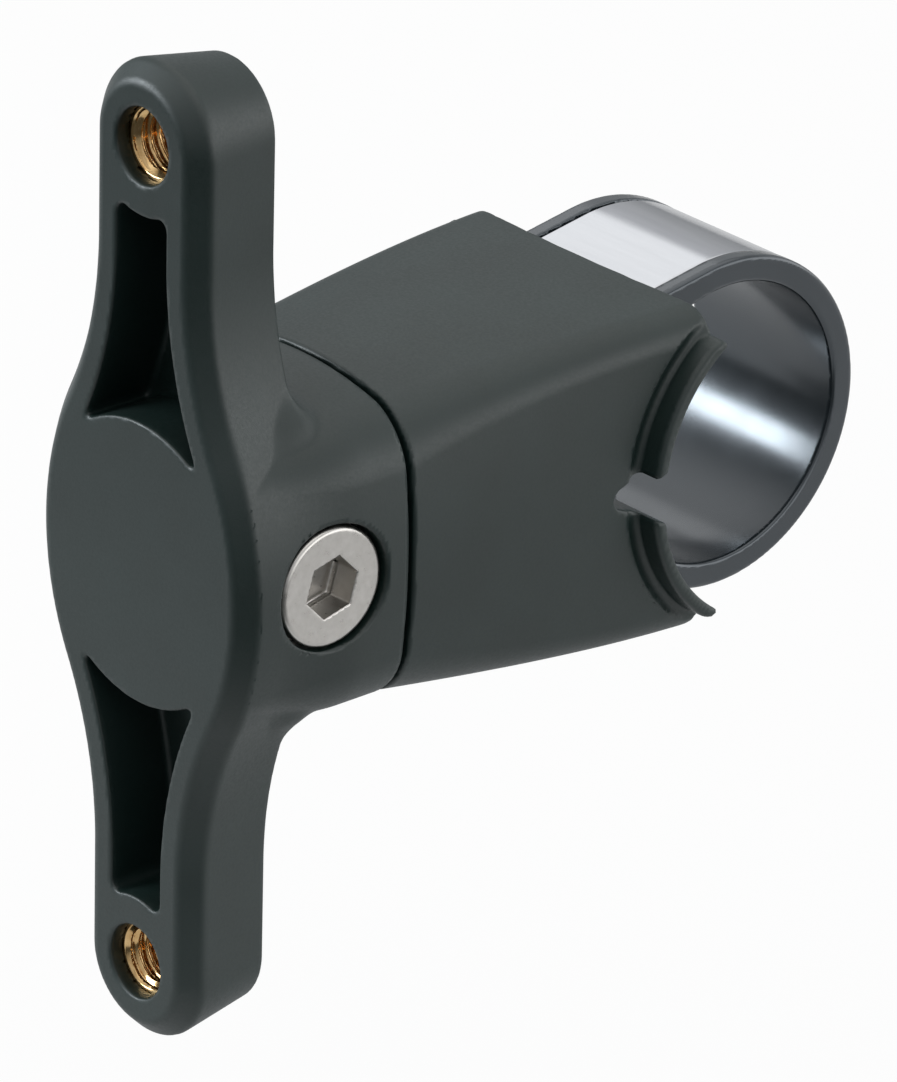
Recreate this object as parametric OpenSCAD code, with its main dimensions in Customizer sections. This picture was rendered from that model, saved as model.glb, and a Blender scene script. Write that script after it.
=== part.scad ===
// Bottle cage mount that straps round a handlebar or seat post.
// The origin is the centre of the clamped tube. The tube runs along X, the cage plate faces -Y and Z is up.

/* [Tube clamp] */
// Diameter of the clamped tube
tube_d = 22.2; // [20:0.1:26]
// Thickness of the rubber liner over the tube
liner_t = 1.55; // [1:0.05:2.5]
// Width of the rubber liner
liner_w = 15.2; // [12:0.2:20]
// Width of each raised rim of the liner
rim_w = 1.3; // [0.8:0.1:2]
// Height of each raised rim of the liner
rim_h = 0.6; // [0.3:0.05:1]
// Thickness of the steel strap
strap_t = 0.4; // [0.3:0.05:0.8]
// Lean of the strap's legs towards each other
strap_lean = 10; // [6:0.5:12]
// Diameter of the pins that hold the strap's ends
pin_d = 2.5; // [2:0.1:3]

/* [Clamp body] */
// Distance from the tube's axis to the body's tube end
body_end = 8; // [6:0.5:9]
// Width of the body at the tube end
body_end_w = 26.8; // [25:0.2:32]
// Height of the body at the tube end
body_end_h = 25.5; // [25:0.1:30]
// Width of the body and the neck where they meet
joint_w = 24.4; // [23:0.2:28]
// Height of the body and the neck where they meet
joint_h = 24.6; // [23:0.2:28]
// Length of the body
body_l = 26.6; // [22:0.1:34]
// How far each lip stands out of the body's side
lip_out = 1.65; // [0.8:0.05:3]
// Thickness of each lip at its rim
lip_t = 1; // [0.6:0.1:1.6]
// Width of the groove beside each lip
lip_groove = 1; // [0.6:0.1:1.4]
// Depth of the relief groove in the middle of the saddle
relief_depth = 3.4; // [1:0.1:4]
// Height of the relief groove at the saddle
relief_h = 4.4; // [2:0.1:6]

/* [Cage plate] */
// Distance from the front face to the end of the neck
neck_l = 15.1; // [15:0.1:18]
// Distance between the two cage bolts
bolt_spacing = 64; // [60:0.5:70]
// Width of the plate's arms
arm_w = 12.3; // [11:0.1:16]
// Depth of the plate's arms
arm_t = 7.2; // [6:0.1:10]
// Width of the plate in the middle
disc_w = 24; // [20:0.2:28]
// Radius of the plate's rounded sides in the middle
side_r = 23.45; // [20:0.05:32]
// Height above the middle where the arms become straight
waist_z = 24; // [20:0.5:26]
// Chamfer round the front face
chamfer = 1.45; // [0.8:0.05:2]
// Height above the middle where the arms begin to thicken
flare_z = 21.5; // [18:0.5:24]
// How fast the arms thicken towards the neck
flare_slope = 0.3; // [0.1:0.05:0.5]

/* [Pockets] */
// Radius of the solid front between the pockets
core_r = 10.96; // [9:0.1:13]
// Wall between a pocket and the chamfer
pocket_wall = 1.95; // [1.2:0.05:2.4]
// Distance from a cage bolt to its pocket
pocket_gap = 5.28; // [4:0.1:8]
// Depth of the pockets
pocket_depth = 5.7; // [3:0.1:6]

/* [Threaded inserts] */
// Outer diameter of an insert
insert_d = 6.4; // [5.8:0.1:7.6]
// Diameter of the hole through an insert, at the thread's crests
insert_bore = 4.2; // [3.8:0.1:4.6]
// Diameter of the hole in front of an insert
insert_mouth = 5.7; // [5.2:0.1:5.8]
// Depth of an insert below the front face
insert_recess = 1.2; // [0.6:0.1:2]

/* [Tightening screw] */
// Distance from the front face to the screw's axis
screw_depth = 8.3; // [8:0.1:9]
// Thread diameter of the screw
screw_d = 5; // [4:0.1:5]
// Thread pitch of the screw
screw_pitch = 0.8; // [0.5:0.05:1]
// Turns from loose to tight
screw_turns = 3; // [1:0.5:3]
// Diameter of the screw's head
head_d = 9.1; // [8:0.1:9.4]
// Thickness of the screw's head
head_t = 2.2; // [1.6:0.1:2.6]
// Distance across the flats of the hexagon socket
socket_af = 4; // [2.5:0.5:4]
// Gap between the neck and the body when loose
joint_gap = 0.5; // [0.45:0.05:1.4]
// How far the neck closes up when the screw is tightened
take_up = 0.4; // [0.2:0.05:0.4]

/* [Hidden] */
$fn = 96;

// Clearances and small walls
slip = 0.05;
run = 0.2;
wall = 1.9;
edge = 0.25;
over = 1;
flare_l = 10.5;
flare_soft = 0.8;
spigot_r = 2.5;
bay_r = 1;
wedge_end_gap = 1.2;
hook_gap = 1.2;
clip_w = 1.5;
pin_in = 5.14;

// Places along Y, from the tube towards the cage
body_front = -(body_end + body_l);
neck_end = body_front - joint_gap;
reach = body_end + body_l + joint_gap + neck_l;
face_y = -reach;
arm_back = face_y + arm_t;
screw_y = face_y + screw_depth;

// Sizes of the strap and the saddle
tube_r = tube_d / 2;
strap_in = tube_r + liner_t + slip;
strap_out = strap_in + strap_t;
saddle_r = strap_in;
strap_w = liner_w - 2 * rim_w - 2 * slip;
eye_r = pin_d / 2 + slip + strap_t;
pin_off = strap_out - eye_r;
pin_y = body_front + pin_in;
leg_l = -(pin_y + pin_off * sin(strap_lean)) / cos(strap_lean);
pin_z = pin_off * cos(strap_lean) - leg_l * sin(strap_lean);

// Sizes of the yoke, the wedge and the space they work in
yoke_half = pin_z + eye_r + run;
ear_t = 1.7;
yoke_x = strap_w / 2 + run + ear_t;
yoke_back = pin_y - pin_d;
bridge_t = 2.5;
arm_x = 4.2;
arm_z = 6.7;
bay = yoke_half + 2 * run;
bay_x = max(yoke_x, yoke_half) + 2 * run;
bay_front = face_y + 2;
hook_front = bay_front + take_up + 0.5;
travel = screw_pitch * screw_turns;
ramp = take_up / travel;
wedge_x = -2.5;
wedge_half = 4;
barrel_r = screw_d / 2 + 0.8;
ramp_y = screw_y - 1.3;
wing_back = screw_y + 2.3;
spigot_l = 5.2;
spigot = bay_x + 1.2;

// Sizes of the screw
head_face = joint_w / 2 - 0.7;
seat_x = head_face - head_t - 0.8;
cb_r = head_d / 2 + 0.45;
inner_wall = seat_x - 1.7;
tip_x = -(joint_w / 2 - 1.4);
clip_x = inner_wall - 0.9;
clip_t = 0.6;
clip_groove = screw_d / 2 - 0.5;

// Form of the neck and the body: how much the top and the sides bulge, in 1/mm, and the corner's radius
root_form = [0.0315, 1 / side_r, 2.6];
joint_form = [0.0315, 0.0172, 2.6];
end_form = [0.006, 0.004, 1.7];

function lerp(a, b, t) = a + (b - a) * t;

// Points of an arc from angle a to angle b about a centre
function arc(centre, r, a, b, n) =
    [for (i = [0 : n]) let (t = lerp(a, b, i / n)) centre + r * [cos(t), sin(t)]];

// Where circles about a and b meet, on the left of the line from a to b
function meet(a, b, r_a, r_b) =
    let (far = norm(b - a), u = (b - a) / far, along = (far * far + r_a * r_a - r_b * r_b) / (2 * far))
    a + along * u + sqrt(r_a * r_a - along * along) * [-u[1], u[0]];

function direction(a, b) = atan2(b[1] - a[1], b[0] - a[0]);

// Section of a loft at place y: w wide and h high, with bulged sides and rounded corners
function section(y, w, h, form) =
    let (top_r = 1 / form[0], flank_r = 1 / form[1], r = form[2],
         top = [0, h / 2 - top_r], flank = [w / 2 - flank_r, 0],
         corner = meet(flank, top, flank_r - r, top_r - r),
         low = direction(flank, corner), high = direction(top, corner),
         q = concat(arc(flank, flank_r, low / 8, low * 3 / 4, 2), arc(corner, r, low, high, 5),
                    arc(top, top_r, lerp(90, high, 3 / 4), lerp(90, high, 1 / 8), 3)),
         n = len(q) - 1)
    concat([for (i = [0 : n]) [q[i][0], y, q[i][1]]], [for (i = [n : -1 : 0]) [-q[i][0], y, q[i][1]]],
           [for (i = [0 : n]) [-q[i][0], y, -q[i][1]]], [for (i = [n : -1 : 0]) [q[i][0], y, -q[i][1]]]);

// Closed skin over a list of rings of equal length, from low y to high y
module skin(rings) {
    n = len(rings[0]);
    m = len(rings);
    points = [for (ring = rings) for (p = ring) p];
    sides = [for (j = [0 : m - 2]) for (i = [0 : n - 1])
        let (a = j * n + i, b = j * n + (i + 1) % n)
        each [[a, b, a + n], [b, b + n, a + n]]];
    front = [for (i = [n - 1 : -1 : 0]) i];
    back = [for (i = [0 : n - 1]) (m - 1) * n + i];
    polyhedron(points, concat([front, back], sides));
}

// Turns a shape drawn along Z so that it lies along X
module along_x() {
    rotate([90, 0, 90]) children();
}

// Cylinder along X between two places
module x_rod(r, x0, x1) {
    translate([x0, 0, 0]) along_x() cylinder(r = r, h = x1 - x0);
}

// Box between two corners
module span(low, high) {
    translate(low) cube(high - low);
}

// Square prism along Y with rounded corners, between two places
module y_square(half_x, half_z, r, y0, y1) {
    translate([0, y1, 0]) rotate([90, 0, 0]) linear_extrude(y1 - y0) {
        square([2 * half_x, 2 * (half_z - r)], center = true);
        square([2 * (half_x - r), 2 * half_z], center = true);
        for (sx = [-1, 1], sz = [-1, 1])
            translate([sx * (half_x - r), sz * (half_z - r)]) circle(r);
    }
}

// Outline of the plate's right half from top to bottom: [x, z, outward x, outward z]
arm_r = arm_w / 2;
insert_z = bolt_spacing / 2;
side_x = disc_w / 2 - side_r;
waist_r = (pow(arm_r - side_x, 2) + waist_z * waist_z - side_r * side_r) / (2 * (side_r - arm_r + side_x));
waist_x = arm_r + waist_r;
waist_a = atan(waist_z / (waist_x - side_x));
end_n = 12;
waist_n = 9;
disc_n = 16;
upper_outline = concat(
    [for (i = [0 : end_n]) let (a = 90 - 90 * i / end_n)
        [arm_r * cos(a), insert_z + arm_r * sin(a), cos(a), sin(a)]],
    [for (i = [0 : waist_n]) let (a = 180 + waist_a * i / waist_n)
        [waist_x + waist_r * cos(a), waist_z + waist_r * sin(a), -cos(a), -sin(a)]],
    [for (i = [1 : disc_n / 2 - 1]) let (a = waist_a * (1 - 2 * i / disc_n))
        [side_x + side_r * cos(a), side_r * sin(a), cos(a), sin(a)]]);
upper_n = len(upper_outline);
half_outline = concat(upper_outline, [[disc_w / 2, 0, 1, 0]],
    [for (i = [upper_n - 1 : -1 : 0]) let (p = upper_outline[i]) [p[0], -p[1], p[2], -p[3]]]);
half_n = len(half_outline);

// Back of the plate at height z: flat behind the arms, then a ramp with a soft start towards the neck
function plate_back(z) =
    let (in = flare_z - max(min(abs(z), flare_z), flare_z - flare_l))
    arm_back + flare_slope * (sqrt(in * in + flare_soft * flare_soft) - flare_soft);

function plate_ring(inset, depth) = concat(
    [for (p = half_outline) [p[0] - inset * p[2], face_y + depth, p[1] - inset * p[3]]],
    [for (i = [half_n - 2 : -1 : 1]) let (p = half_outline[i])
        [-p[0] + inset * p[2], face_y + depth, p[1] - inset * p[3]]]);

function back_ring(inset, lift) = concat(
    [for (p = half_outline) [p[0] - inset * p[2], plate_back(p[1]) - lift, p[1] - inset * p[3]]],
    [for (i = [half_n - 2 : -1 : 1]) let (p = half_outline[i])
        [-p[0] + inset * p[2], plate_back(p[1]) - lift, p[1] - inset * p[3]]]);

// Solid plate: a chamfered front, straight sides and a back that follows plate_back
module plate_blank() {
    soft = 0.3;
    rings = [plate_ring(chamfer + soft, 0), plate_ring(chamfer - soft / 2, soft / 2),
             plate_ring(soft / 2, chamfer - soft / 2), plate_ring(0, chamfer + soft),
             back_ring(0, edge), back_ring(edge, 0)];
    n = len(rings[0]);
    last = (len(rings) - 1) * n;
    points = [for (ring = rings) for (p = ring) p];
    sides = [for (j = [0 : len(rings) - 2]) for (i = [0 : n - 1])
        let (a = j * n + i, b = j * n + (i + 1) % n)
        each [[a, a + n, b], [b, a + n, b + n]]];
    cap = concat(
        [[0, 1, n - 1]],
        [for (i = [1 : half_n - 3]) let (a = i, b = n - i)
            each [[a, a + 1, b], [b, a + 1, b - 1]]],
        [[half_n - 2, half_n - 1, half_n]]);
    back = [for (t = cap) [t[0] + last, t[2] + last, t[1] + last]];
    polyhedron(points, concat(cap, sides, back));
}

// Hollow neck behind the plate: its section grows squarer towards the body
module neck_blank() {
    start = arm_back - 3.4;
    square_at = arm_back + 4;
    steps = 8;
    rings = concat(
        [for (i = [0 : steps]) let (t = i / steps, s = t * t * (3 - 2 * t))
            section(lerp(start, square_at, t), lerp(disc_w - 0.1, joint_w, s), joint_h,
                    lerp(root_form, joint_form, s))],
        [section(neck_end - edge, joint_w, joint_h, joint_form),
         section(neck_end, joint_w - 2 * edge, joint_h - 2 * edge, joint_form)]);
    skin(rings);
}

// One pocket of the plate, above the middle, with rounded corners
module pocket() {
    c = 0.9;
    flank_r = waist_r + chamfer + pocket_wall;
    half = arm_r - chamfer - pocket_wall;
    waist = [waist_x, waist_z];
    inner = meet([0, 0], waist, core_r + c, flank_r + c);
    turn = direction([0, 0], inner);
    waist_turn = direction(inner, waist);
    outer = [half - c, insert_z - sqrt(pow(pocket_gap + c, 2) - pow(half - c, 2))];
    outer_turn = direction(outer, [0, insert_z]);
    right = concat(
        arc([0, 0], core_r, 90, turn, 10),
        arc(inner, c, turn - 180, waist_turn, 4),
        arc(waist, flank_r, waist_turn + 180, 180, 8),
        arc(outer, c, 0, outer_turn, 5),
        arc([0, insert_z], pocket_gap, outer_turn + 180, 270, 8));
    left = [for (i = [len(right) - 2 : -1 : 1]) [-right[i][0], right[i][1]]];
    translate([0, face_y + pocket_depth, 0]) rotate([90, 0, 0])
        linear_extrude(pocket_depth + over) polygon(concat(right, left));
}

// Space inside the neck for the wedge, the hooks and the yoke
module neck_bay() {
    span([-wedge_half + wedge_x - wedge_end_gap, bay_front, -arm_z - run], [inner_wall, neck_end, arm_z + run]);
    span([-arm_x - 2 * run, bay_front, -bay], [arm_x + 2 * run, neck_end, bay]);
    y_square(bay_x, bay, bay_r, yoke_back - bridge_t - take_up - 2 * run, neck_end + spigot_l + over);
}

module cage_plate() {
    color([0.22, 0.24, 0.24])
    difference() {
        union() {
            plate_blank();
            neck_blank();
            y_square(spigot, spigot, spigot_r, neck_end - over, neck_end + spigot_l);
        }
        for (s = [0, 1]) mirror([0, 0, s]) {
            pocket();
            translate([0, 0, insert_z]) rotate([90, 0, 0]) {
                translate([0, 0, -arm_back - over]) cylinder(d = insert_mouth, h = arm_t + 2 * over);
                translate([0, 0, -arm_back - over])
                    cylinder(d = insert_d + 2 * slip, h = arm_t - insert_recess + over);
            }
        }
        neck_bay();
        translate([0, screw_y, 0]) {
            x_rod(cb_r, seat_x, joint_w);
            x_rod(screw_d / 2 + run, 0, joint_w / 2);
            x_rod(screw_d / 2 + run, tip_x - run, 0);
        }
    }
}

// Knurled brass bush, with its open front towards the cage
module insert(z) {
    color([0.8, 0.6, 0.28])
    translate([0, arm_back, z]) rotate([90, 0, 0])
    difference() {
        union() {
            cylinder(d = insert_d - 0.5, h = arm_t - insert_recess);
            for (start = [0, 3.4]) translate([0, 0, start]) knurl(2.2);
        }
        translate([0, 0, -over]) cylinder(d = insert_bore, h = arm_t + 2 * over);
    }
}

// Band of straight knurling round an insert
module knurl(height) {
    teeth = 26;
    linear_extrude(height)
        polygon([for (i = [0 : 2 * teeth - 1]) let (r = insert_d / 2 - (i % 2) * 0.22, a = 180 * i / teeth)
            [r * cos(a), r * sin(a)]]);
}

// Outer form of the body: a loft that widens and grows flatter towards the tube
module body_blank() {
    steps = 7;
    rings = concat(
        [section(body_front, joint_w - 2 * edge, joint_h - 2 * edge, joint_form)],
        [for (i = [0 : steps]) let (t = i / steps)
            section(lerp(body_front + edge, -body_end - edge, t), lerp(joint_w, body_end_w, t),
                    lerp(joint_h, body_end_h, t), lerp(joint_form, end_form, t))],
        [section(-body_end, body_end_w - 2 * edge, body_end_h - 2 * edge, end_form)]);
    skin(rings);
}

// Turns a profile of radius and x round the tube, over the body's side from angle a to angle b, up and down
module round_saddle(a, b) {
    for (up = [0, 1]) mirror([0, 0, up])
        along_x() rotate([0, 0, 180 - b]) rotate_extrude(angle = b - a) children();
}

// Lips along the saddle's edge on one side of the body
module lips() {
    side = body_end_w / 2;
    tip_a = 57;
    round_saddle(1, tip_a)
        polygon([[saddle_r - 0.5, side - 2.5], [saddle_r - 0.5, side + lip_out - 0.25],
                 [saddle_r + 0.3, side + lip_out], [saddle_r + lip_t - 0.3, side + lip_out],
                 [saddle_r + lip_t, side + lip_out - 0.3], [saddle_r + lip_t, side - 2.5]]);
}

// Groove in the body's side at the root of the lips
module lip_root() {
    side = body_end_w / 2;
    root_r = saddle_r + lip_t;
    round_saddle(2, 64)
        polygon([[root_r - 0.2, side + 1], [root_r - 0.2, side - 0.2], [root_r + 0.15, side - 0.35],
                 [root_r + lip_groove / 2, side - 0.35], [root_r + lip_groove, side],
                 [root_r + 2 * lip_groove, side + 1]]);
}

// Slots that the strap's legs pass through, from the saddle end into the body's hollow
module strap_slots() {
    half = strap_w / 2 + run;
    for (up = [0, 1]) mirror([0, 0, up])
        rotate([strap_lean, 0, 0])
            span([-half, -leg_l, strap_in - 0.1], [half, 0, strap_out + 0.1]);
}

module clamp_body() {
    socket = spigot + slip * 2;
    hollow = bay;
    hollow_end = -(saddle_r + relief_depth + wall);
    color([0.2, 0.22, 0.22])
    difference() {
        union() {
            difference() {
                body_blank();
                for (s = [0, 1]) mirror([s, 0, 0]) lip_root();
            }
            for (s = [0, 1]) mirror([s, 0, 0]) lips();
        }
        x_rod(saddle_r, -body_end_w, body_end_w);
        along_x() linear_extrude(2 * body_end_w, center = true)
            polygon([[-(saddle_r + relief_depth), 0.3], [-(saddle_r + relief_depth), -0.3],
                     [-saddle_r * cos(asin(relief_h / 2 / saddle_r)) + 0.2, -relief_h / 2],
                     [-saddle_r * cos(asin(relief_h / 2 / saddle_r)) + 0.2, relief_h / 2]]);
        y_square(socket, socket, spigot_r, body_front - over, neck_end + spigot_l + take_up + run);
        y_square(hollow, hollow, bay_r, body_front, pin_y + eye_r + 2);
        span([-bay_x + 1, body_front, -pin_z + 1], [bay_x - 1, hollow_end, pin_z - 1]);
        strap_slots();
    }
}

// Profile round the tube: a circle with two straight legs that lean together, up to the body's end
module loop_profile(r, y_end) {
    circle(r);
    touch_y = -r * sin(strap_lean);
    touch_z = r * cos(strap_lean);
    end_z = touch_z + (y_end - touch_y) * tan(strap_lean);
    polygon([[touch_y, touch_z], [0, 0], [touch_y, -touch_z], [y_end, -end_z], [y_end, end_z]]);
}

module liner() {
    outer = tube_r + liner_t;
    leg_end = -body_end + slip;
    color([0.1, 0.1, 0.1])
    difference() {
        union() {
            along_x() linear_extrude(liner_w, center = true) loop_profile(outer, leg_end);
            for (s = [0, 1]) mirror([s, 0, 0])
                translate([liner_w / 2 - rim_w, 0, 0]) along_x() linear_extrude(rim_w)
                    intersection() {
                        loop_profile(outer + rim_h, leg_end);
                        translate([leg_end, -2 * outer]) square([4 * outer, 4 * outer]);
                    }
        }
        x_rod(tube_r, -liner_w, liner_w);
    }
}

// Steel band: a loop round the liner, two legs and an eye at each end
module strap() {
    leg_end = pin_y - eye_r * sin(strap_lean);
    half = strap_w / 2;
    color([0.75, 0.76, 0.78])
    difference() {
        union() {
            difference() {
                along_x() linear_extrude(strap_w, center = true) loop_profile(strap_out, leg_end);
                along_x() linear_extrude(strap_w + over, center = true) loop_profile(strap_in, leg_end - over);
            }
            for (s = [-1, 1]) translate([0, pin_y, s * pin_z]) x_rod(eye_r, -half, half);
        }
        for (s = [-1, 1]) translate([0, pin_y, s * pin_z]) x_rod(eye_r - strap_t, -half - over, half + over);
    }
}

// Yoke that holds the strap's pins and hooks behind the wedge
module strap_yoke() {
    bridge_back = yoke_back;
    bridge_front = yoke_back - bridge_t;
    color([0.55, 0.56, 0.58])
    difference() {
        union() {
            span([-yoke_x, bridge_front, -yoke_half], [yoke_x, bridge_back, yoke_half]);
            for (s = [-1, 1])
                span([s * (yoke_x - ear_t / 2) - ear_t / 2, bridge_front, -yoke_half],
                     [s * (yoke_x - ear_t / 2) + ear_t / 2, pin_y + pin_d, yoke_half]);
            for (up = [0, 1]) mirror([0, 0, up]) {
                span([-arm_x, hook_front, arm_z], [arm_x, bridge_front + slip, yoke_half]);
                hook();
            }
        }
        for (s = [-1, 1]) translate([0, pin_y, s * pin_z])
            x_rod(pin_d / 2 + slip / 2, -yoke_x - over, yoke_x + over);
    }
}

// Hook at the front end of a yoke arm, with a face that slopes across the plate
module hook() {
    face = ramp_y - slip;
    low = screw_d / 2 + hook_gap;
    translate([0, 0, low]) linear_extrude(yoke_half - low)
        polygon([[-arm_x, hook_front], [arm_x, hook_front],
                 [arm_x, face + ramp * (arm_x - wedge_x)], [-arm_x, face + ramp * (-arm_x - wedge_x)]]);
}

// Nut with two sloping wings that pull the yoke's hooks as the screw draws it along
module wedge_nut() {
    low = wedge_x - wedge_half;
    high = wedge_x + wedge_half;
    color([0.6, 0.6, 0.55])
    difference() {
        union() {
            translate([0, screw_y, 0]) x_rod(barrel_r, low, high);
            for (up = [0, 1]) mirror([0, 0, up])
                linear_extrude(arm_z - run)
                    polygon([[low, ramp_y - ramp * wedge_half], [high, ramp_y + ramp * wedge_half],
                             [high, wing_back], [low, wing_back]]);
        }
        translate([0, screw_y, 0]) x_rod(screw_d / 2 + slip, low - over, high + over);
    }
}

module tension_bolt() {
    dome = 0.5;
    socket_deep = head_t + 0.4;
    color([0.8, 0.79, 0.76])
    translate([0, screw_y, 0])
    difference() {
        union() {
            x_rod(screw_d / 2, tip_x, head_face - head_t);
            translate([head_face - head_t, 0, 0]) along_x() rotate_extrude()
                polygon([[0, 0], [head_d / 2 - 0.1, 0], [head_d / 2, 0.1], [head_d / 2, head_t - dome],
                         [head_d / 2 - 0.12, head_t - 0.2], [head_d / 2 - 0.45, head_t - 0.05],
                         [head_d / 2 - 0.9, head_t], [0, head_t]]);
        }
        translate([head_face - socket_deep, 0, 0]) along_x() rotate([0, 0, 30])
            cylinder(d = socket_af / cos(30), h = socket_deep + over, $fn = 6);
        difference() {
            x_rod(screw_d, clip_x - slip, clip_x + clip_t + slip);
            x_rod(clip_groove, clip_x - over, clip_x + clip_t + over);
        }
    }
}

module bolt_washer() {
    color([0.7, 0.7, 0.7])
    translate([0, screw_y, 0])
    difference() {
        x_rod(cb_r - run, seat_x, head_face - head_t);
        x_rod(screw_d / 2 + run, seat_x - over, head_face);
    }
}

// Retaining clip that keeps the loosened screw in the neck
module bolt_clip() {
    color([0.35, 0.35, 0.36])
    translate([0, screw_y, 0])
    difference() {
        x_rod(screw_d / 2 + clip_w, clip_x, clip_x + clip_t);
        x_rod(clip_groove + slip / 2, clip_x - over, clip_x + clip_t + over);
        span([clip_x - over, -screw_d * 2, -clip_groove * 0.8], [clip_x + clip_t + over, 0, clip_groove * 0.8]);
    }
}

module strap_pin(s) {
    color([0.7, 0.7, 0.72])
    translate([0, pin_y, s * pin_z]) x_rod(pin_d / 2, -yoke_x, yoke_x);
}

cage_plate();
insert(insert_z);  // upper_insert
insert(-insert_z);  // lower_insert
clamp_body();
liner();
strap();
strap_yoke();
strap_pin(1);  // upper_strap_pin
strap_pin(-1);  // lower_strap_pin
wedge_nut();
tension_bolt();
bolt_washer();
bolt_clip();
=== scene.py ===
import math
import bpy
import numpy as np
from mathutils import Matrix, Vector


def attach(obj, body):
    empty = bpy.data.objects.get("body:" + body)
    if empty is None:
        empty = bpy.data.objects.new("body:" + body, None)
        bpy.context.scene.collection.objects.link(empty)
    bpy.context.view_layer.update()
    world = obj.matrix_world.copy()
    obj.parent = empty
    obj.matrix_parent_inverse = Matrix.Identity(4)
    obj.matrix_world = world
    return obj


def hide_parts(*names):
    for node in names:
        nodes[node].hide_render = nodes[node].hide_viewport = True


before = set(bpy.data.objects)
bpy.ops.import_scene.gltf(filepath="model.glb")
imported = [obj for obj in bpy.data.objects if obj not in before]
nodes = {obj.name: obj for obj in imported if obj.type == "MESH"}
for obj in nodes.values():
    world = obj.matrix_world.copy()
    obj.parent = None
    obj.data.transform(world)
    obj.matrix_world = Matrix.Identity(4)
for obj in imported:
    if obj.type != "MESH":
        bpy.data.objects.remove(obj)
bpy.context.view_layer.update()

# Sizes in mm, as in the part's source
TUBE_R, LINER_T, LINER_W, RIM_W, RIM_H = 11.1, 1.55, 15.2, 1.35, 0.48
STRAP_IN, STRAP_T, STRAP_W, STRAP_LEG, LEAN = 12.7, 0.4, 12.5, 27.9, math.radians(10)
SADDLE_R, BODY_FRONT, BODY_END = 12.7, -34.6, -8.0
NECK_END, FACE_Y, ARM_BACK, NECK_ROOT = -35.1, -50.2, -42.1, -48.6
SCREW_Y = FACE_Y + 8.3
INSERT_Z, INSERT_BACK, ARM_R = 32.0, -43.0, 6.15
DISC_X, SIDE_R, WAIST_Z = 12.0, 23.45, 24.0
SIDE_X = DISC_X - SIDE_R
WAIST_R = (((ARM_R - SIDE_X) ** 2 + WAIST_Z ** 2 - SIDE_R ** 2)
           / (2 * (SIDE_R - ARM_R + SIDE_X)))
WAIST_X = ARM_R + WAIST_R
CHAMFER = 1.45
BAY, BAY_FRONT = 8.68, -48.2
SPIGOT = 9.88
POCKET_HALF, POCKET_WALL, POCKET_DEPTH = 2.75, 3.4, 5.7
POCKET_INNER_R, POCKET_OUTER_R = 10.96, 5.28
RECESS, MOUTH_R, INSERT_SEAT_R = 1.2, 2.85, 3.25
SHAFT_R, THREAD_PITCH = 2.7, 0.8
HEAD_FACE, SEAT_X, HEAD_R, BORE_R = 11.7, 8.5, 4.6, 5.0
LIP_R, LIP_X, BODY_SIDE = 13.7, 15.05, 13.55


# Distance fields. Each takes coordinates in mm and gives the distance to a surface, negative inside.
def rmax(a, b, r):
    """Intersection whose edge is rounded with radius r."""
    return np.minimum(np.maximum(a, b), -r) + np.hypot(np.maximum(a + r, 0), np.maximum(b + r, 0))


def rmin(a, b, r):
    """Union whose inner corner is filled with radius r."""
    return -rmax(-a, -b, r)


def cut(a, b, r=0.0):
    """What is left of a when b is taken away, with the edge rounded with radius r."""
    return rmax(a, -b, r) if r else np.maximum(a, -b)


def box2(u, v, hu, hv, r=0.0):
    """Rectangle of half sizes hu and hv in the plane, with corners of radius r."""
    du, dv = np.abs(u) - hu + r, np.abs(v) - hv + r
    return np.minimum(np.maximum(du, dv), 0) + np.hypot(np.maximum(du, 0), np.maximum(dv, 0)) - r


def span(v, lo, hi):
    return np.maximum(lo - v, v - hi)


def plate_side(x, z):
    """Outline of the plate seen from the front."""
    x, z = np.abs(x), np.abs(z)
    end = np.hypot(x, z - INSERT_Z) - ARM_R
    arm = x - ARM_R
    waist = WAIST_R - np.hypot(x - WAIST_X, z - WAIST_Z)
    disc = np.hypot(x - SIDE_X, z) - SIDE_R
    upper = (WAIST_X - SIDE_X) * z - WAIST_Z * (x - SIDE_X) > 0
    low = np.where(upper, waist, disc)
    return np.where(z > INSERT_Z, end, np.where(z > WAIST_Z, arm, low))


def smooth(v, lo, hi):
    """Step from 0 at lo to 1 at hi, without a kink at either end."""
    t = np.clip((v - lo) / (hi - lo), 0, 1)
    return t * t * (3 - 2 * t)


def crowned(x, z, w, h, top_r, side_r, corner):
    """Box section with slightly bulged sides and rounded corners."""
    x, z = np.abs(x), np.abs(z)
    top = np.hypot(x, z - (h - top_r)) - top_r
    side = np.hypot(x - (w - side_r), z) - side_r
    return rmax(top, side, corner)


def neck_outer(x, y, z):
    """Neck that starts with the plate's own outline and grows square."""
    s = smooth(y, -46.4, -39.0)  # 0 at the plate, 1 where the section is square
    side_r = 1 / ((1 - s) / SIDE_R + s * 0.0172)
    d = crowned(x, z, 11.95 + 0.25 * s, 12.3 + 0.3 * s, 31.7, side_r, 2.6 + 0.4 * s)
    return rmax(d, y - NECK_END, 0.2)


def pocket(x, y, z):
    """Both waisted pockets in the plate's front."""
    ax, az = np.abs(x), np.abs(z)
    waist = WAIST_R + POCKET_WALL - np.hypot(ax - WAIST_X, az - WAIST_Z)
    flank = np.where(az > WAIST_Z, ax - POCKET_HALF, waist)
    inner = POCKET_INNER_R - np.hypot(x, az)
    outer = np.where(az < INSERT_Z, POCKET_OUTER_R - np.hypot(x, az - INSERT_Z), POCKET_OUTER_R)
    side = rmax(rmax(inner, flank, 0.9), outer, 1.2)
    return rmax(np.maximum(side, 8 - az), y - (FACE_Y + POCKET_DEPTH), 0.4)


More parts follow.
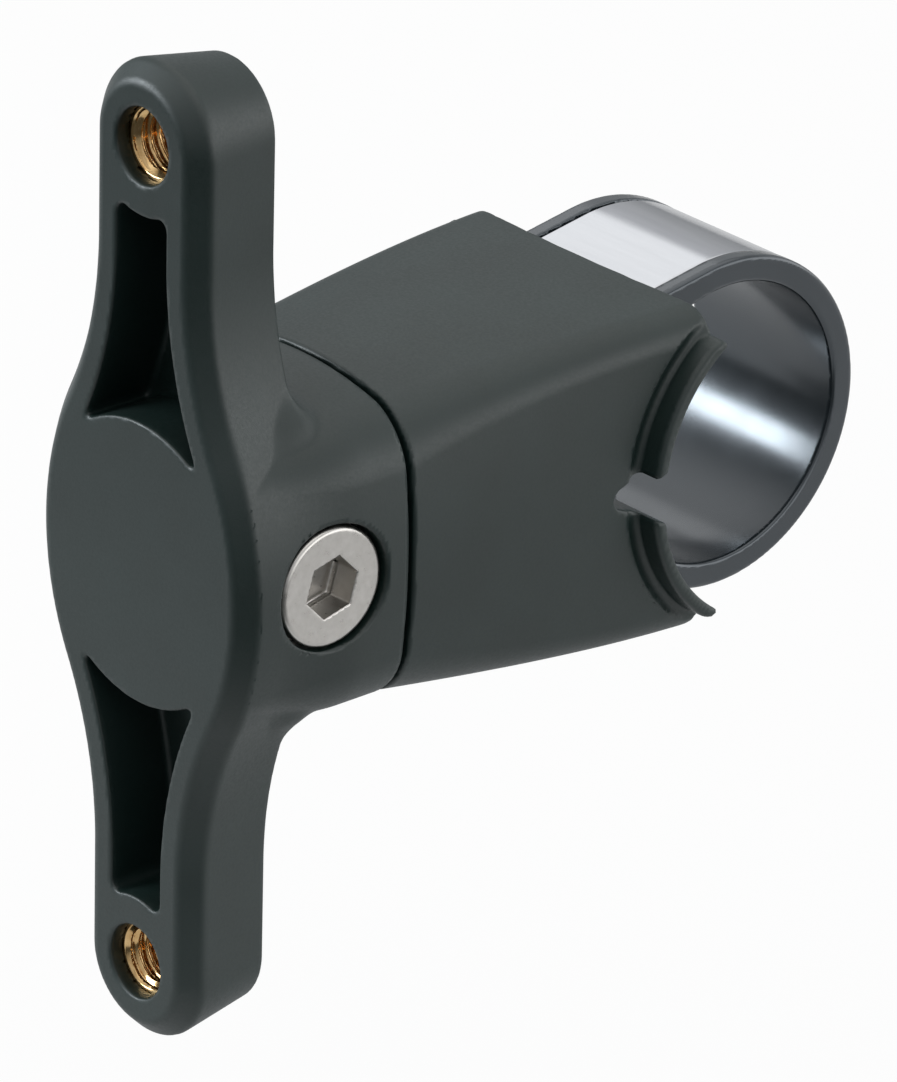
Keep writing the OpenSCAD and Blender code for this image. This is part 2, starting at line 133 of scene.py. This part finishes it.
def plate_field(p):
    """Plate, neck and the spigot that reaches into the body, with all their hollows."""
    x, y, z = p
    side = plate_side(x, z)
    front = FACE_Y - y
    bevel = (side + front + CHAMFER) / math.sqrt(2)
    drafted = side + 0.16 * np.maximum(y - FACE_Y - CHAMFER, 0)
    body = rmax(drafted, bevel, 0.3)
    body = rmax(body, front, 0.28)
    body = rmax(body, y - ARM_BACK, 0.35)
    neck = np.maximum(neck_outer(x, y, z), NECK_ROOT - y)
    fill = 0.05 + 2.4 * smooth(np.abs(z), 9, 12) * smooth(y, -46.5, -42.5)
    d = rmin(body, neck, fill)
    spigot = np.maximum(box2(x, z, SPIGOT, SPIGOT, 2.5), span(y, NECK_END - 1, NECK_END + 5.2))
    d = np.minimum(d, spigot)
    d = cut(d, pocket(x, y, z), 0.22)
    r = np.hypot(x, np.abs(z) - INSERT_Z)
    d = cut(d, r - MOUTH_R, 0.25)
    d = cut(d, np.maximum(r - INSERT_SEAT_R, FACE_Y + RECESS - y))
    bay = np.maximum(np.maximum(span(x, -7.7, 6.8), np.abs(z) - 6.9), BAY_FRONT - y)
    bay = np.minimum(bay, np.maximum(box2(x, z, 4.6, BAY), BAY_FRONT - y))
    bay = np.minimum(bay, np.maximum(box2(x, z, BAY, BAY, 1.0), -35.26 - y))
    d = cut(d, bay)
    q = np.hypot(y - SCREW_Y, z)
    d = cut(d, np.maximum(q - BORE_R + 0.12, SEAT_X - x), 0.15)
    return cut(d, np.maximum(q - SHAFT_R, span(x, -11.0, 20.0)))


def body_outer(x, y, z):
    """Outside of the body, which grows from the parting gap to the tube's end."""
    t = np.clip((y - BODY_FRONT) / (BODY_END - BODY_FRONT), 0, 1)
    u = 1 - (1 - t) ** 2
    top_r = 1 / (0.0315 * (1 - u) + 0.006 * u)
    side_r = 1 / (0.0172 * (1 - t) + 0.004 * t)
    d = crowned(x, z, 12.2 + (BODY_SIDE - 12.2) * t, 12.6 + 0.75 * u, top_r, side_r, 3.0 - 0.7 * u)
    return rmax(rmax(d, BODY_FRONT - y, 0.2), y - BODY_END + 0.4 - 0.007 * x * x, 0.25)


def lips(x, y, z):
    """Lips that follow the saddle out of the body's sides."""
    r = np.hypot(y, z)
    ax = np.abs(x)
    rim = rmax(rmax(r - LIP_R, ax - LIP_X, 0.4), SADDLE_R - 0.5 - r, 0.1)
    rim = np.maximum(rim, 10.9 - ax)
    angle = math.radians(57)
    end = y * math.sin(angle) + np.abs(z) * math.cos(angle)
    return rmax(rmax(rim, end, 0.4), np.abs(z) - 11.15, 0.5)


def leg_coords(y, az):
    """Coordinates along and across the strap's leg."""
    c, s = math.cos(LEAN), math.sin(LEAN)
    return y * c + az * s, az * c - y * s


def lip_root(x, y, z):
    """Round-bottomed groove beside the lips."""
    return np.hypot(np.hypot(y, z) - LIP_R - 0.5, np.abs(x) - BODY_SIDE) - 0.72


def body_field(p):
    """Body with its saddle, lips, notch, socket for the neck and slots for the strap."""
    x, y, z = p
    d = cut(body_outer(x, y, z), lip_root(x, y, z), 0.12)
    d = rmin(d, lips(x, y, z), 0.12)
    r = np.hypot(y, z)
    d = cut(d, r - SADDLE_R, 0.3)
    reach = 16.1
    groove_half = 0.55 + (reach + y) / (reach - 12.5) * 1.5
    groove = (np.abs(z) - groove_half) * 0.9
    d = cut(d, rmax(groove, -(y + reach), 0.5), 0.2)
    d = cut(d, np.maximum(box2(x, z, 9.98, 9.98, 2.5), y + 29.0), 0.15)
    d = cut(d, np.maximum(box2(x, z, BAY, BAY, 1.0), y + 25.76))
    d = cut(d, np.maximum(box2(x, z, 7.68, 5.38), y + 18.0))
    u, v = leg_coords(y, np.abs(z))
    band = span(v, STRAP_IN - 0.1, STRAP_IN + STRAP_T + 0.1)
    slot = np.maximum(np.maximum(np.abs(x) - 6.45, band), span(u, -STRAP_LEG, 0))
    return cut(d, slot)


def loop_outline(y, z, r, y_end):
    """Circle with two straight legs that lean together and stop at y_end."""
    az = np.abs(z)
    circle = np.hypot(y, az) - r
    u, v = leg_coords(y, az)
    legs = np.maximum(v - r, y_end - y)
    return np.where((u < 0) & (y < 0), np.minimum(legs, circle), circle)


def liner_field(p):
    """Rubber liner with a raised rim at each edge, 0.4 mm wider towards -x."""
    x, y, z = p
    ax = np.abs(np.where(x < 0, x * LINER_W / (LINER_W + 0.8), x))
    end = BODY_END + 0.05
    outer = TUBE_R + LINER_T
    d = rmax(loop_outline(y, z, outer, end), ax - LINER_W / 2, 0.2)
    rim = rmax(loop_outline(y, z, outer + RIM_H, end), ax - LINER_W / 2, 0.35)
    rim = rmax(rim, LINER_W / 2 - RIM_W - ax, 0.1)
    rim = np.maximum(rim, end - y)
    d = np.minimum(d, rim)
    return cut(d, np.hypot(y, z) - TUBE_R, 0.3)


def hexagon(u, v, af):
    """Distance in the plane to a hexagon that is af across its flats."""
    d = np.abs(v)
    for k in (30, 150):
        a = math.radians(k)
        d = np.maximum(d, np.abs(u * math.cos(a) + v * math.sin(a)))
    return d - af / 2


def bolt_field(p):
    """Screw with a low head, a hexagon socket, a thread and the groove for its clip."""
    x, y, z = p
    y = y - SCREW_Y
    r = np.hypot(y, z)
    head = rmax(r - HEAD_R, x - HEAD_FACE, 0.4)
    head = rmax(head, HEAD_FACE - 2.2 - x, 0.12)
    turn = np.arctan2(z, y) / (2 * math.pi)
    phase = np.abs((x / THREAD_PITCH - turn) % 1.0 - 0.5)
    thread = np.clip(0.42 - phase * 1.1, 0, 0.36)
    fade = np.clip((4.6 - x) / 0.5, 0, 1)
    shank = (r - (2.5 - thread * fade)) * 0.8
    shank = np.maximum(shank, span(x, -10.8, 9.5))
    groove = np.maximum(span(x, 5.85, 6.55), 2.0 - r)
    d = np.minimum(head, cut(shank, groove))
    a = math.radians(-14)
    across = hexagon(y * math.cos(a) - z * math.sin(a), y * math.sin(a) + z * math.cos(a), 4.2)
    socket = rmax(across, HEAD_FACE - 2.6 - x, 0.12)
    return cut(d, socket, 0.08)


def insert_field(p):
    """Brass insert with an M5 thread, for the upper arm's place."""
    x, y, z = p
    z = z - INSERT_Z
    r = np.hypot(x, z)
    turn = np.arctan2(z, x) / (2 * math.pi)
    ring = rmax(r - 3.2, FACE_Y + RECESS - y, 0.12)
    ring = np.maximum(ring, y - INSERT_BACK)
    knurl = np.abs((turn * 26) % 1.0 - 0.5) * 0.3
    ring = np.maximum(ring, np.where(np.abs(y + 46.0) > 0.5, r - 3.2 + knurl, r - 2.95))
    phase = np.abs((y / THREAD_PITCH + turn) % 1.0 - 0.5)
    depth = np.clip(0.52 - phase * 1.25, 0, 0.4)
    lead = np.clip(0.45 - (y - (FACE_Y + RECESS)), 0, 0.45)
    bore = (r - np.maximum(2.1 + depth, 2.12 + lead)) * 0.75
    return cut(ring, bore, 0.03)


def gradient(field, p, h=0.02):
    """Slope of a field at points p, from differences over h on each side."""
    g = np.empty_like(p)
    for i in range(3):
        step = np.zeros((3, 1))
        step[i] = h
        g[i] = field(p + step) - field(p - step)
    return g / (2 * h)


def surface(field, lo, hi, pitch):
    """Vertices in mm, unit normals and quads on a field's zero surface, with vertices drawn to its edges."""
    axes = [np.arange(a, b + pitch, pitch) for a, b in zip(lo, hi)]
    start = np.array([a[0] for a in axes])
    n = np.array([len(a) for a in axes])
    f = np.empty(n)
    gy, gz = np.meshgrid(axes[1], axes[2], indexing="ij")
    for i, x in enumerate(axes[0]):
        f[i] = field((np.full_like(gy, x), gy, gz))
    quads, points, normals = [], [], []
    for axis in range(3):
        u, v = [k for k in range(3) if k != axis]
        a, b = [slice(None)] * 3, [slice(None)] * 3
        a[axis], b[axis] = slice(0, -1), slice(1, None)
        place = np.argwhere((f[tuple(a)] < 0) != (f[tuple(b)] < 0))
        for k in (u, v):
            place = place[(place[:, k] > 0) & (place[:, k] < n[k] - 1)]
        after = place.copy()
        after[:, axis] += 1
        fa, fb = f[tuple(place.T)], f[tuple(after.T)]
        p = start + pitch * place
        p[:, axis] += pitch * fa / (fa - fb)
        g = gradient(field, p.T).T
        corners = []
        for du, dv in ((0, 0), (1, 0), (1, 1), (0, 1)):
            q = place.copy()
            q[:, u] -= du
            q[:, v] -= dv
            corners.append(np.ravel_multi_index(q.T, n))
        quad = np.stack(corners, 1)
        flip = (fa < 0) if axis != 1 else (fa >= 0)
        quads.append(np.where(flip[:, None], quad, quad[:, ::-1]))
        points.append(p)
        normals.append(g / np.maximum(np.linalg.norm(g, axis=1), 1e-6)[:, None])
    quads, points, normals = (np.concatenate(parts) for parts in (quads, points, normals))
    cells, quads = np.unique(quads, return_inverse=True)
    quads = quads.reshape(-1, 4)
    centre = start + pitch * (np.array(np.unravel_index(cells, n)).T + 0.5)
    m = len(cells)
    count = np.bincount(quads.ravel(), minlength=m).astype(float)
    mean, right_side, matrix = np.zeros((m, 3)), np.zeros((m, 3)), np.zeros((m, 3, 3))
    for k in range(4):
        cell = quads[:, k]
        offset = points - centre[cell]
        along = (normals * offset).sum(1)
        for i in range(3):
            mean[:, i] += np.bincount(cell, offset[:, i], m)
            right_side[:, i] += np.bincount(cell, normals[:, i] * along, m)
            for j in range(3):
                matrix[:, i, j] += np.bincount(cell, normals[:, i] * normals[:, j], m)
    mean /= count[:, None]
    pull = 0.03 * count
    matrix += pull[:, None, None] * np.eye(3)
    move = np.linalg.solve(matrix, (right_side + pull[:, None] * mean)[..., None])[..., 0]
    p = (centre + np.clip(move, -0.5 * pitch, 0.5 * pitch)).T
    for _ in range(3):
        g = gradient(field, p)
        step = g * (field(p) / np.maximum((g * g).sum(0), 0.2))
        p -= np.clip(step, -0.3 * pitch, 0.3 * pitch)
    g = gradient(field, p, 0.03)
    normal = g / np.maximum(np.sqrt((g * g).sum(0)), 1e-6)
    return p.T, normal.T, quads


def mesh_piece(name, v, normal, faces, material, body, replaced):
    """Object from vertices in mm, one normal for each and faces of equal length."""
    k = faces.shape[1]
    mesh = bpy.data.meshes.new(name)
    mesh.vertices.add(len(v))
    mesh.vertices.foreach_set("co", (np.asarray(v) * 0.001).astype(np.float32).ravel())
    mesh.loops.add(faces.size)
    mesh.loops.foreach_set("vertex_index", faces.astype(np.int32).ravel())
    mesh.polygons.add(len(faces))
    mesh.polygons.foreach_set("loop_start", np.arange(0, faces.size, k, dtype=np.int32))
    mesh.polygons.foreach_set("use_smooth", np.ones(len(faces), bool))
    mesh.update(calc_edges=True)
    mesh.validate()
    mesh.normals_split_custom_set_from_vertices(np.asarray(normal, np.float32))
    mesh.materials.append(material)
    obj = bpy.data.objects.new(name, mesh)
    bpy.context.scene.collection.objects.link(obj)
    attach(obj, body)
    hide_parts(*replaced)
    print(name, len(v), "vertices", len(faces), "faces")


def field_piece(name, field, lo, hi, pitch, material, body, replaced):
    v, n, q = surface(field, lo, hi, pitch)
    mesh_piece(name, v, n, q, material, body, replaced)


def build_strap(material):
    """Steel band swept round its path, with rounded edges and an eye at each end."""
    c, s = math.cos(LEAN), math.sin(LEAN)
    mid = STRAP_IN + STRAP_T / 2
    eye_r = 1.7
    eye = eye_r - STRAP_T / 2
    off = STRAP_IN + STRAP_T - eye_r
    pin = np.array([-off * s - STRAP_LEG * c, off * c - STRAP_LEG * s])
    path, out = [], []
    for a in np.linspace(math.pi / 2 - LEAN + math.pi * 1.86, math.pi / 2 - LEAN, 60):
        w = np.array([math.cos(a + 2 * LEAN), math.sin(a + 2 * LEAN)])
        path.append(pin + eye * w)
        out.append(w)
    start = np.array([-mid * s, mid * c])
    normal = np.array([-s, c])
    first = path[-1]
    for t in np.linspace(0, 1, 60)[1:]:
        path.append(first + (start - first) * t)
        out.append(normal)
    for a in np.linspace(math.pi / 2 + LEAN, -math.pi / 2 - LEAN, 220)[1:]:
        w = np.array([math.cos(a), math.sin(a)])
        path.append(mid * w)
        out.append(w)
    half = len(path) - 219
    for i in range(half - 1, -1, -1):
        path.append(path[i] * [1, -1])
        out.append(out[i] * [1, -1])
    path, out = np.array(path), np.array(out)
    section = []
    r, hw, ht = 0.13, STRAP_W / 2, STRAP_T / 2
    for cx, cz, a0 in ((hw - r, ht - r, 0), (-hw + r, ht - r, 90),
                       (-hw + r, -ht + r, 180), (hw - r, -ht + r, 270)):
        for k in range(6):
            a = math.radians(a0 + 18 * k)
            section.append((cx + r * math.cos(a), cz + r * math.sin(a), math.cos(a), math.sin(a)))
    extra = []
    for i, q in enumerate(section):
        extra.append(q)
        if i == 5 or i == 17:
            side = 1 if i == 5 else -1
            for k in range(1, 24):
                extra.append((side * (hw - r) * (1 - k / 12), side * ht, 0.0, float(side)))
    section = extra
    m = len(section)
    v, nv = [], []
    for (py, pz), (oy, oz) in zip(path, out):
        for x, h, nx, nh in section:
            v.append((x, py + h * oy, pz + h * oz))
            nv.append((nx, nh * oy, nh * oz))
    faces = []
    for i in range(len(path) - 1):
        for k in range(m):
            a, b = i * m + k, i * m + (k + 1) % m
            faces.append((a, a + m, b + m, b))
    v, nv, faces = np.array(v), np.array(nv), np.array(faces)
    caps = []
    for base, flip in ((0, False), ((len(path) - 1) * m, True)):
        loop = [base + k for k in range(m)]
        for k in range(1, m // 2):
            quad = (loop[k - 1], loop[k], loop[m - 1 - k], loop[(m - k) % m])
            caps.append(quad if not flip else quad[::-1])
    faces = np.concatenate([faces, np.array(caps)])
    mesh_piece("strap_band", v, nv, faces, material, "clamp", ["strap"])


# Materials
def new_material(name):
    m = bpy.data.materials.new(name)
    m.use_nodes = True
    tree = m.node_tree
    shader = tree.nodes["Principled BSDF"]
    return m, tree, shader


def link(tree, a, b):
    tree.links.new(a, b)


def coords(tree):
    return tree.nodes.new("ShaderNodeTexCoord").outputs["Object"]


def noise(tree, where, scale, detail=3.0, rough=0.5):
    n = tree.nodes.new("ShaderNodeTexNoise")
    n.inputs["Scale"].default_value = scale
    n.inputs["Detail"].default_value = detail
    n.inputs["Roughness"].default_value = rough
    link(tree, where, n.inputs["Vector"])
    return n.outputs["Fac"]


def ramp(tree, fac, stops):
    r = tree.nodes.new("ShaderNodeValToRGB")
    while len(r.color_ramp.elements) < len(stops):
        r.color_ramp.elements.new(0.5)
    for e, (pos, col) in zip(r.color_ramp.elements, stops):
        e.position = pos
        e.color = (*col, 1)
    link(tree, fac, r.inputs["Fac"])
    return r.outputs["Color"]


def to_range(tree, fac, lo, hi, a=0.3, b=0.7):
    """Value that goes from lo to hi while fac goes from a to b."""
    m = tree.nodes.new("ShaderNodeMapRange")
    m.inputs["From Min"].default_value, m.inputs["From Max"].default_value = a, b
    m.inputs["To Min"].default_value, m.inputs["To Max"].default_value = lo, hi
    link(tree, fac, m.inputs["Value"])
    return m.outputs["Result"]


def bump(tree, height, strength, distance, normal=None):
    b = tree.nodes.new("ShaderNodeBump")
    b.inputs["Strength"].default_value = strength
    b.inputs["Distance"].default_value = distance
    link(tree, height, b.inputs["Height"])
    if normal is not None:
        link(tree, normal, b.inputs["Normal"])
    return b.outputs["Normal"]


def add_colours(tree, a, b):
    mix = tree.nodes.new("ShaderNodeMix")
    mix.data_type, mix.blend_type = "RGBA", "ADD"
    mix.inputs["Factor"].default_value = 1.0
    link(tree, a, mix.inputs[6])
    link(tree, b, mix.inputs[7])
    return mix.outputs[2]


def polymer_material():
    """Satin black polymer with a fine moulded grain and a few pale specks of dust."""
    m, tree, shader = new_material("satin_polymer")
    where = coords(tree)
    cloud = noise(tree, where, 160, 3.0)
    grain = noise(tree, where, 4200, 2.0, 0.6)
    fine_grain = noise(tree, where, 9000, 2.0, 0.7)
    base = ramp(tree, cloud, [(0.3, (0.001, 0.010, 0.008)), (0.7, (0.004, 0.015, 0.013))])
    dust = ramp(tree, fine_grain, [(0.0, (0, 0, 0)), (0.70, (0, 0, 0)), (0.82, (0.04, 0.042, 0.042))])
    link(tree, add_colours(tree, base, dust), shader.inputs["Base Color"])
    link(tree, to_range(tree, grain, 0.42, 0.52), shader.inputs["Roughness"])
    first = bump(tree, grain, 0.2, 0.00003)
    link(tree, bump(tree, noise(tree, where, 700, 2.0), 0.12, 0.00004, first), shader.inputs["Normal"])
    shader.inputs["Specular IOR Level"].default_value = 0.7
    return m


def rubber_material():
    """Smooth dark rubber with a soft gloss."""
    m, tree, shader = new_material("liner_rubber")
    where = coords(tree)
    cloud = noise(tree, where, 220, 3.0)
    link(tree, ramp(tree, cloud, [(0.3, (0.008, 0.012, 0.014)), (0.7, (0.014, 0.018, 0.021))]),
         shader.inputs["Base Color"])
    link(tree, to_range(tree, cloud, 0.20, 0.27), shader.inputs["Roughness"])
    link(tree, bump(tree, noise(tree, where, 1500, 2.0), 0.05, 0.00002), shader.inputs["Normal"])
    shader.inputs["Specular IOR Level"].default_value = 0.85
    # Specular Tint paints a blue cast into every reflection on the rubber, standing in for bluish light
    shader.inputs["Specular Tint"].default_value = (0.84, 0.92, 1.0, 1.0)
    shader.inputs["Coat Weight"].default_value = 0.35
    shader.inputs["Coat Roughness"].default_value = 0.18
    return m


def metal_material(name, dark, light, rough_lo, rough_hi, stretch, scale, grain):
    """Metal whose fine lines run across the axes that stretch makes large."""
    m, tree, shader = new_material(name)
    mapping = tree.nodes.new("ShaderNodeMapping")
    mapping.inputs["Scale"].default_value = stretch
    link(tree, coords(tree), mapping.inputs["Vector"])
    lines = noise(tree, mapping.outputs["Vector"], scale, 4.0, 0.6)
    link(tree, ramp(tree, lines, [(0.3, dark), (0.7, light)]), shader.inputs["Base Color"])
    link(tree, to_range(tree, lines, rough_lo, rough_hi), shader.inputs["Roughness"])
    link(tree, bump(tree, lines, grain, 0.00002), shader.inputs["Normal"])
    shader.inputs["Metallic"].default_value = 1.0
    return m


polymer = polymer_material()
rubber = rubber_material()
EVEN = (1.0, 1.0, 1.0)
strap_steel = metal_material("strap_steel", (0.53, 0.54, 0.56), (0.57, 0.58, 0.60), 0.13, 0.17,
                             (0.15, 2.0, 2.0), 700, 0.02)
screw_steel = metal_material("screw_steel", (0.54, 0.52, 0.49), (0.62, 0.60, 0.57), 0.26, 0.36,
                             EVEN, 1600, 0.12)
inner_steel = metal_material("inner_steel", (0.40, 0.41, 0.43), (0.50, 0.51, 0.53), 0.30, 0.45,
                             EVEN, 700, 0.2)
brass = metal_material("brass", (0.52, 0.31, 0.12), (0.80, 0.56, 0.28), 0.10, 0.2,
                       (1.0, 3.0, 1.0), 900, 0.15)

# Hidden pieces keep their CAD solids and only take a material
for name, material in (("bolt_washer", screw_steel), ("strap_yoke", inner_steel),
                       ("upper_strap_pin", inner_steel), ("lower_strap_pin", inner_steel),
                       ("wedge_nut", inner_steel), ("bolt_clip", inner_steel)):
    data = nodes[name].data
    data.materials.clear()
    data.materials.append(material)

# Pieces that stand for the CAD nodes with finer edges
fine = 0.3
field_piece("plate_moulding", plate_field, (-13, -51, -39), (13, -29, 39), fine, polymer, "head",
            ["cage_plate"])
field_piece("body_moulding", body_field, (-16, -35, -14), (16, -6, 14), fine, polymer, "clamp",
            ["clamp_body"])
field_piece("liner_moulding", liner_field, (-8.6, -13.4, -13.6), (8.2, 13.6, 13.6), 0.24, rubber, "clamp",
            ["liner"])
build_strap(strap_steel)
field_piece("screw_turned", bolt_field, (-11.2, SCREW_Y - 5, -5), (12, SCREW_Y + 5, 5), 0.14,
            screw_steel, "bolt", ["tension_bolt"])
v, n, q = surface(insert_field, (-3.6, -49.4, 28.4), (3.6, -42.6, 35.6), 0.12)
mesh_piece("upper_bush", v, n, q, brass, "head", ["upper_insert"])
# Half a turn about y puts the same insert in the lower arm
flip = np.array([-1.0, 1.0, -1.0])
mesh_piece("lower_bush", v * flip, n * flip, q, brass, "head", ["lower_insert"])

# Camera at the photograph's viewing angle
AZIMUTH, ELEVATION, ROLL = (math.radians(angle) for angle in (48.252, 24.484, 1.515))
DISTANCE, SHIFT_RIGHT, SHIFT_UP = 573.918, 22.19, 1.623
FOCAL_PIXELS, PICTURE_HEIGHT = 8040.485, 1082
back = Vector((math.sin(AZIMUTH) * math.cos(ELEVATION), -math.cos(AZIMUTH) * math.cos(ELEVATION),
               math.sin(ELEVATION)))
level = Vector((math.cos(AZIMUTH), math.sin(AZIMUTH), 0))
upright = back.cross(level)
right = math.cos(ROLL) * level + math.sin(ROLL) * upright
up = -math.sin(ROLL) * level + math.cos(ROLL) * upright
place = (back * DISTANCE + SHIFT_RIGHT * right + SHIFT_UP * up + Vector((0, FACE_Y, 0))) * 0.001
cam = bpy.data.objects.new("Camera", bpy.data.cameras.new("Camera"))
cam.data.sensor_width = 36
cam.data.lens = FOCAL_PIXELS * cam.data.sensor_width / PICTURE_HEIGHT
cam.data.clip_start, cam.data.clip_end = 0.01, 20
cam.matrix_world = Matrix(((right.x, up.x, back.x, place.x), (right.y, up.y, back.y, place.y),
                           (right.z, up.z, back.z, place.z), (0, 0, 0, 1)))
bpy.context.scene.collection.objects.link(cam)
bpy.context.scene.camera = cam


# Light and floor
def area_light(name, at, target, size, size_y, energy, colour=(1, 1, 1)):
    data = bpy.data.lights.new(name, "AREA")
    data.shape = "RECTANGLE"
    data.size, data.size_y, data.energy, data.color = size, size_y, energy, colour
    obj = bpy.data.objects.new(name, data)
    obj.location = at
    obj.rotation_mode = "QUATERNION"
    obj.rotation_quaternion = (Vector(target) - Vector(at)).to_track_quat("-Z", "Y")
    bpy.context.scene.collection.objects.link(obj)


def math_node(tree, operation, a, b):
    """Maths node whose second input is a link or a number."""
    n = tree.nodes.new("ShaderNodeMath")
    n.operation = operation
    link(tree, a, n.inputs[0])
    if isinstance(b, float):
        n.inputs[1].default_value = b
    else:
        link(tree, b, n.inputs[1])
    return n.outputs[0]


def seen_white(tree, glossy_share):
    """Share of plain white that a ray sees: all of it directly and through glass, part in a reflection."""
    path = tree.nodes.new("ShaderNodeLightPath")
    direct = math_node(tree, "MAXIMUM", path.outputs["Is Camera Ray"], path.outputs["Is Transmission Ray"])
    glossy = math_node(tree, "MULTIPLY", path.outputs["Is Glossy Ray"], glossy_share)
    return math_node(tree, "MAXIMUM", direct, glossy)


def white_to_camera(tree, shader_output, surface_input, keep):
    """Shows white to the camera and, in part, to reflections, with a share of the real shading kept."""
    share = math_node(tree, "MULTIPLY", seen_white(tree, FLOOR_GLOSSY), 1 - keep)
    glow = tree.nodes.new("ShaderNodeEmission")
    glow.inputs["Color"].default_value = (1, 1, 1, 1)
    mix = tree.nodes.new("ShaderNodeMixShader")
    link(tree, share, mix.inputs[0])
    link(tree, shader_output, mix.inputs[1])
    link(tree, glow.outputs[0], mix.inputs[2])
    link(tree, mix.outputs[0], surface_input)


WORLD_GLOSSY, FLOOR_GLOSSY = 0.08, 0.1
bpy.context.scene.view_settings.view_transform = "Standard"
world = bpy.data.worlds.new("World")
bpy.context.scene.world = world
world.use_nodes = True
wt = world.node_tree
direction = wt.nodes.new("ShaderNodeSeparateXYZ")
link(wt, wt.nodes.new("ShaderNodeTexCoord").outputs["Generated"], direction.inputs[0])
sky = ramp(wt, to_range(wt, direction.outputs["Z"], 0, 1, -1, 1),
           [(0.42, (0.006, 0.01, 0.01)), (0.50, (0.20, 0.21, 0.22)), (0.61, (0.36, 0.37, 0.38)),
            (0.72, (0.48, 0.49, 0.51)), (0.80, (0.33, 0.34, 0.35)), (0.90, (1.05, 1.05, 1.05))])
background = wt.nodes["Background"]
background.inputs["Strength"].default_value = 1.25
# Pale wall that stands low behind the part, to the right
toward = wt.nodes.new("ShaderNodeVectorMath")
toward.operation = "DOT_PRODUCT"
link(wt, wt.nodes.new("ShaderNodeTexCoord").outputs["Generated"], toward.inputs[0])
toward.inputs[1].default_value = (0.74, 0.67, 0.0)
wall = math_node(wt, "MULTIPLY", to_range(wt, toward.outputs["Value"], 0, 1.6, 0.45, 0.9),
                 to_range(wt, direction.outputs["Z"], 1, 0, 0.25, 0.5))
wall = math_node(wt, "MULTIPLY", wall, to_range(wt, direction.outputs["Z"], 0, 1, -0.3, -0.02))
link(wt, add_colours(wt, sky, wall), background.inputs["Color"])
white = wt.nodes.new("ShaderNodeBackground")
white.inputs["Color"].default_value = (1, 1, 1, 1)
white.inputs["Strength"].default_value = 1.0
mix = wt.nodes.new("ShaderNodeMixShader")
link(wt, seen_white(wt, WORLD_GLOSSY), mix.inputs[0])
link(wt, background.outputs[0], mix.inputs[1])
link(wt, white.outputs[0], mix.inputs[2])
link(wt, mix.outputs[0], wt.nodes["World Output"].inputs["Surface"])

# Pale table in metres. Its corner towards the camera is cut off where CUT_X x - CUT_Y y = CUT_AT
TABLE_Z, TABLE_FRONT, TABLE_BACK, TABLE_HALF = -0.055, -0.155, 3.0, 2.0
CUT_X, CUT_Y, CUT_AT = 0.743, 0.669, 0.085
corner_x = (CUT_AT + CUT_Y * TABLE_FRONT) / CUT_X
corner_y = (CUT_X * TABLE_HALF - CUT_AT) / CUT_Y
outline = ((-TABLE_HALF, TABLE_FRONT), (corner_x, TABLE_FRONT), (TABLE_HALF, corner_y),
           (TABLE_HALF, TABLE_BACK), (-TABLE_HALF, TABLE_BACK))
floor_mesh = bpy.data.meshes.new("floor")
floor_mesh.from_pydata([(x, y, TABLE_Z) for x, y in outline], [], [(0, 1, 2, 3, 4)])
floor = bpy.data.objects.new("floor", floor_mesh)
bpy.context.scene.collection.objects.link(floor)
floor_material, ft, fs = new_material("floor_paper")
fs.inputs["Base Color"].default_value = (0.58, 0.58, 0.58, 1)
fs.inputs["Roughness"].default_value = 0.9
white_to_camera(ft, fs.outputs[0], ft.nodes["Material Output"].inputs["Surface"], 0.06)
floor_mesh.materials.append(floor_material)

area_light("front_left", (-0.41, -0.43, 0.186), (0, 0, 0), 0.32, 0.15, 2.5, (0.88, 0.95, 1.0))
area_light("left", (-0.40, 0.27, 0.355), (0, 0, 0), 0.15, 0.13, 0.052)
